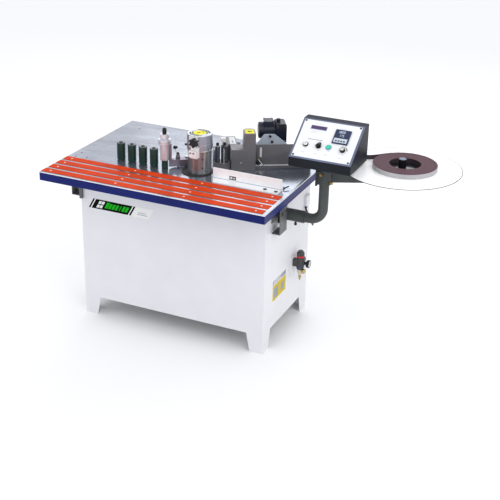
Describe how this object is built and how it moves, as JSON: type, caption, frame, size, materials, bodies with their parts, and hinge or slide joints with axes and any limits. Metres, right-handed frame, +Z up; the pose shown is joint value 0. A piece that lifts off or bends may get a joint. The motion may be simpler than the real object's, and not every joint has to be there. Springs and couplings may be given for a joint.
{
  "type": "edge banding machine",
  "caption": "Manual edge banding machine: steel cabinet and work table with sliding strips, glue pot, press rollers, tape reel tray and swivelling console.",
  "frame": {"origin": "centre of the four anchor holes in the cabinet's feet, at floor level", "axes": "+X to the operator's right along the table's front edge, +Y to the back, +Z up"},
  "size_m": [1.936, 0.9, 1.172],
  "materials": {
    "cabinet_paint": "light grey powder coat, fine texture",
    "table_steel": "ground steel, blue-grey, semi-gloss",
    "blue_edging": "dark blue gloss paint",
    "orange_nylon": "orange-red sliding strips",
    "bright_screw": "bright zinc screws",
    "dark_paint": "dark grey satin paint",
    "console_paint": "blue-black satin powder coat",
    "cover_paint": "warm grey satin paint",
    "green_sleeve": "dark green roller sleeve",
    "cream_paint": "pale machined housing",
    "black_plastic": "black moulded plastic",
    "pot_steel": "polished stainless sheet",
    "pot_lid_paint": "turned grey metal",
    "pot_iron": "heat-darkened casting",
    "aluminium_bar": "silver anodised extrusion",
    "motor_black": "black motor enamel",
    "bracket_grey": "pale grey plate",
    "steel": "plain steel",
    "belt_rubber": "black belt",
    "brass": "brass",
    "gauge_black": "black gauge case",
    "regulator_body": "black service unit",
    "regulator_knob": "black knob with a red band",
    "panel_white": "white panel film",
    "meter_dark": "dark blue instrument faces",
    "green_plastic": "green push button",
    "tray_white": "white board",
    "edging": "brown edging tape, wound",
    "cable_black": "black cable sheath"
  },
  "bodies": {
    "base": {"cabinet_panels": "cabinet_paint", "rear_panel": "cabinet_paint", "foot_plates": "cabinet_paint", "control_box": "cabinet_paint", "table_top": "table_steel", "table_skirt": "blue_edging", "slide_strips": "orange_nylon", "strip_screws": "bright_screw", "table_brackets": "dark_paint", "arm_socket": "dark_paint", "arm_tube": "dark_paint", "table_studs": "steel", "cap_screws": "bright_screw", "pot_base": "black_plastic", "pot_shell": "pot_steel", "pot_body": "pot_iron", "gate_bracket": "cream_paint", "fence": "aluminium_bar", "guide_plate": "cover_paint", "cutter_cover": "cover_paint", "cutter_cylinder": "aluminium_bar", "valve_block": "cover_paint", "infeed_base": "cover_paint", "gear_motor": "motor_black", "gearbox": "motor_black", "motor_bracket": "bracket_grey", "drive_belt": "belt_rubber", "filter_regulator": "regulator_body", "pressure_gauge": "gauge_black", "control_cable": "cable_black", "cable_glands": "black_plastic"},
    "press_arm": {"press_arm": "dark_paint", "press_housing": "cream_paint"},
    "console": {"console_case": "console_paint", "console_panel": "panel_white", "panel_meters": "meter_dark", "tray_arm": "dark_paint", "hub_screws": "brass", "tape_strip": "edging"},
    "tray": {"tray": "tray_white"},
    "edging_reel": {"edging_reel": "edging"},
    "press_roller": {"press_roller": "green_sleeve"},
    "press_knob": {"press_knob": "black_plastic"},
    "clamp_lever": {"clamp_lever": "black_plastic"},
    "glue_roller": {"glue_roller": "steel"},
    "motor_spindle": {"motor_spindle": "steel"},
    "gate_knob": {"gate_knob": "black_plastic"},
    "pot_lid": {"pot_lid": "pot_lid_paint"},
    "infeed_roller_left": {"infeed_roller_left": "dark_paint"},
    "infeed_roller_right": {"infeed_roller_right": "dark_paint"},
    "cutter_blade": {"cutter_blade": "steel"},
    "rear_door": {"rear_door": "cabinet_paint"},
    "regulator_knob": {"regulator_knob": "regulator_knob"},
    "selector_knob": {"selector_knob": "black_plastic"},
    "dial_knob": {"dial_knob": "black_plastic"},
    "green_button": {"green_button": "green_plastic"},
    "guide_roller_1": {"guide_roller_1": "green_sleeve"},
    "guide_roller_2": {"guide_roller_2": "green_sleeve"},
    "guide_roller_3": {"guide_roller_3": "green_sleeve"},
    "guide_roller_4": {"guide_roller_4": "green_sleeve"}
  },
  "joints": [
    {"name": "guide_roller_1_spin", "type": "hinge", "parent": "base", "child": "guide_roller_1", "pos_m": [-0.333, -0.18, 0.9], "axis": [0, 0, 1], "continuous": true},
    {"name": "guide_roller_2_spin", "type": "hinge", "parent": "base", "child": "guide_roller_2", "pos_m": [-0.2705, -0.18, 0.9], "axis": [0, 0, 1], "continuous": true},
    {"name": "guide_roller_3_spin", "type": "hinge", "parent": "base", "child": "guide_roller_3", "pos_m": [-0.208, -0.18, 0.9], "axis": [0, 0, 1], "continuous": true},
    {"name": "guide_roller_4_spin", "type": "hinge", "parent": "base", "child": "guide_roller_4", "pos_m": [-0.1455, -0.18, 0.9], "axis": [0, 0, 1], "continuous": true},
    {"name": "press_arm_swing", "type": "hinge", "parent": "base", "child": "press_arm", "pos_m": [-0.002, -0.095, 0.88], "axis": [0, 0, 1], "range_deg": [-8, 6]},
    {"name": "press_roller_spin", "type": "hinge", "parent": "press_arm", "child": "press_roller", "pos_m": [-0.084, -0.182, 0.88], "axis": [0, 0, 1], "continuous": true},
    {"name": "press_knob_turn", "type": "hinge", "parent": "press_arm", "child": "press_knob", "pos_m": [-0.084, -0.182, 1.04], "axis": [0, 0, 1], "range_deg": [-180, 180]},
    {"name": "clamp_lever_turn", "type": "hinge", "parent": "base", "child": "clamp_lever", "pos_m": [-0.038, -0.13, 0.9], "axis": [0, 0, 1], "range_deg": [-30, 30]},
    {"name": "motor_spindle_spin", "type": "hinge", "parent": "base", "child": "motor_spindle", "pos_m": [0.35226, 0.23657, 0.8], "axis": [0, 0, 1], "continuous": true},
    {"name": "glue_roller_spin", "type": "hinge", "parent": "base", "child": "glue_roller", "pos_m": [0.092, -0.148, 0.8], "axis": [0, 0, 1], "continuous": true},
    {"name": "gate_knob_turn", "type": "hinge", "parent": "base", "child": "gate_knob", "pos_m": [0.106, -0.235, 1.035], "axis": [0, -1, 0], "range_deg": [-180, 180]},
    {"name": "pot_lid_lift", "type": "slide", "parent": "base", "child": "pot_lid", "axis": [0, 0, 1], "range_m": [0, 0.09]},
    {"name": "infeed_roller_left_spin", "type": "hinge", "parent": "base", "child": "infeed_roller_left", "pos_m": [0.14821, -0.06599, 0.9], "axis": [0, 0, 1], "continuous": true},
    {"name": "infeed_roller_right_spin", "type": "hinge", "parent": "base", "child": "infeed_roller_right", "pos_m": [0.17852, -0.04849, 0.9], "axis": [0, 0, 1], "continuous": true},
    {"name": "cutter_stroke", "type": "slide", "parent": "base", "child": "cutter_blade", "axis": [0, 0, -1], "range_m": [0, 0.024], "stiffness_N_per_m": 2000, "springref_m": -0.005},
    {"name": "rear_door_swing", "type": "hinge", "parent": "base", "child": "rear_door", "pos_m": [-0.368, 0.296, 0.465], "axis": [0, 0, 1], "range_deg": [0, 110]},
    {"name": "regulator_knob_turn", "type": "hinge", "parent": "base", "child": "regulator_knob", "pos_m": [0.553, 0.085, 0.4], "axis": [0, 0, 1], "range_deg": [-150, 150]},
    {"name": "console_swivel", "type": "hinge", "parent": "base", "child": "console", "pos_m": [0.73, -0.11, 0.93], "axis": [0, 0, 1], "range_deg": [-20, 20]},
    {"name": "tray_spin", "type": "hinge", "parent": "console", "child": "tray", "pos_m": [1.054, 0.05, 0.96], "axis": [0, 0, 1], "continuous": true},
    {"name": "reel_spin", "type": "hinge", "parent": "console", "child": "edging_reel", "pos_m": [1.066, 0.054, 0.98], "axis": [0, 0, 1], "continuous": true},
    {"name": "selector_turn", "type": "hinge", "parent": "console", "child": "selector_knob", "pos_m": [0.701, -0.13692, 1.08157], "axis": [0, -0.6021, 0.7984], "range_deg": [-45, 45]},
    {"name": "dial_turn", "type": "hinge", "parent": "console", "child": "dial_knob", "pos_m": [0.82, -0.13852, 1.08036], "axis": [0, -0.6021, 0.7984], "range_deg": [-135, 135]},
    {"name": "green_button_press", "type": "slide", "parent": "console", "child": "green_button", "axis": [0, 0.6021, -0.7984], "range_m": [0, 0.004], "stiffness_N_per_m": 400, "springref_m": -0.002}
  ],
  "couplings": [
    {"joint": "glue_roller_spin", "follows": "motor_spindle_spin", "ratio": 0.71111},
    {"joint": "reel_spin", "follows": "tray_spin", "ratio": 1}
  ]
}
